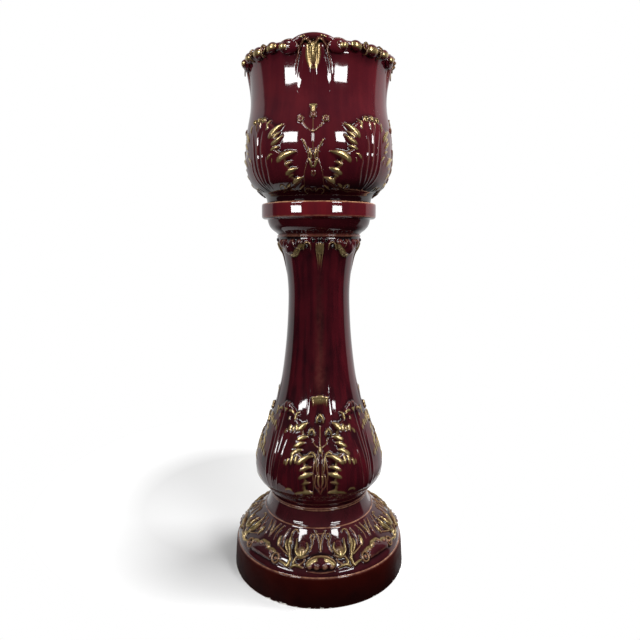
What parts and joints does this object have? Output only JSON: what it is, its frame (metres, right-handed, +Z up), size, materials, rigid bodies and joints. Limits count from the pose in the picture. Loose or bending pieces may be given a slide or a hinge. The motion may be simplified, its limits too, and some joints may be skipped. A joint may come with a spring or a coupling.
{
  "type": "jardiniere on stand",
  "caption": "Glazed earthenware jardiniere with a scrolled, beaded rim, loose on a waisted pedestal stand with acanthus relief.",
  "frame": {"origin": "centre of the ring on which the stand rests, on the floor", "axes": "+Z up along the axis of the stand, -Y towards the front panel of the stand"},
  "size_m": [0.352, 0.352, 0.9991],
  "materials": {
    "pot_glaze": "deep burgundy gloss glaze over relief picked out in gold",
    "stand_glaze": "deep burgundy gloss glaze over relief picked out in gold",
    "plate_glaze": "brighter red gloss glaze that breaks to copper on the edges",
    "plinth_glaze": "burgundy glaze, satin and darker towards the foot"
  },
  "bodies": {
    "stand": {"stand_base": "plinth_glaze", "stand_column": "stand_glaze", "stand_top": "plate_glaze"},
    "jardiniere": {"jardiniere": "pot_glaze"}
  },
  "joints": [
    {"name": "jardiniere_lift", "type": "slide", "parent": "stand", "child": "jardiniere", "axis": [0, 0, 1], "range_m": [0, 0.12]}
  ]
}
